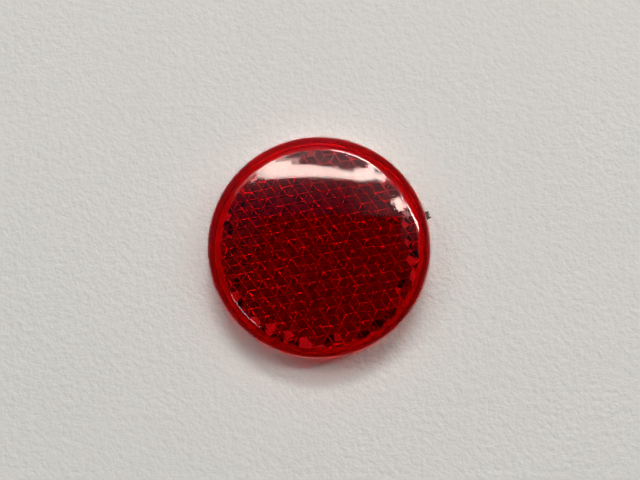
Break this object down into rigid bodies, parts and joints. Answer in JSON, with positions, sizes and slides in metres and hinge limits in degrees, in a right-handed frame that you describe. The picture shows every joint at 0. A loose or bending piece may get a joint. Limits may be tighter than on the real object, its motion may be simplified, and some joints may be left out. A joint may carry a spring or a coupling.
{
  "type": "driveway snow marker reflector",
  "caption": "Round stick-on reflector button for a driveway snow marker: domed clear red lens with hexagonal corner prisms, back plate and foam tape.",
  "frame": {"origin": "centre of the foam tape's rear adhesive face, which is the mounting face", "axes": "+Z points out of the front of the lens, away from the mounting face; +X and +Y lie in the mounting face, with the moulding gate stub 16.5 degrees from +X towards +Y"},
  "size_m": [0.032, 0.0318, 0.0075],
  "materials": {
    "lens_acrylic": "transparent deep red acrylic, polished front, prisms moulded on the inside",
    "back_plate_plastic": "bright opaque red moulded plastic, fine satin",
    "seal_cement": "cured clear cement with a glossy hollow face",
    "tape_adhesive": "tacky acrylic adhesive film",
    "tape_foam": "white closed-cell foam with a die-cut edge"
  },
  "bodies": {
    "root": {"lens": "lens_acrylic", "back_plate": "back_plate_plastic", "seal_bead": "seal_cement", "tape_front_adhesive": "tape_adhesive", "tape_foam": "tape_foam", "tape_rear_adhesive": "tape_adhesive"}
  },
  "joints": []
}
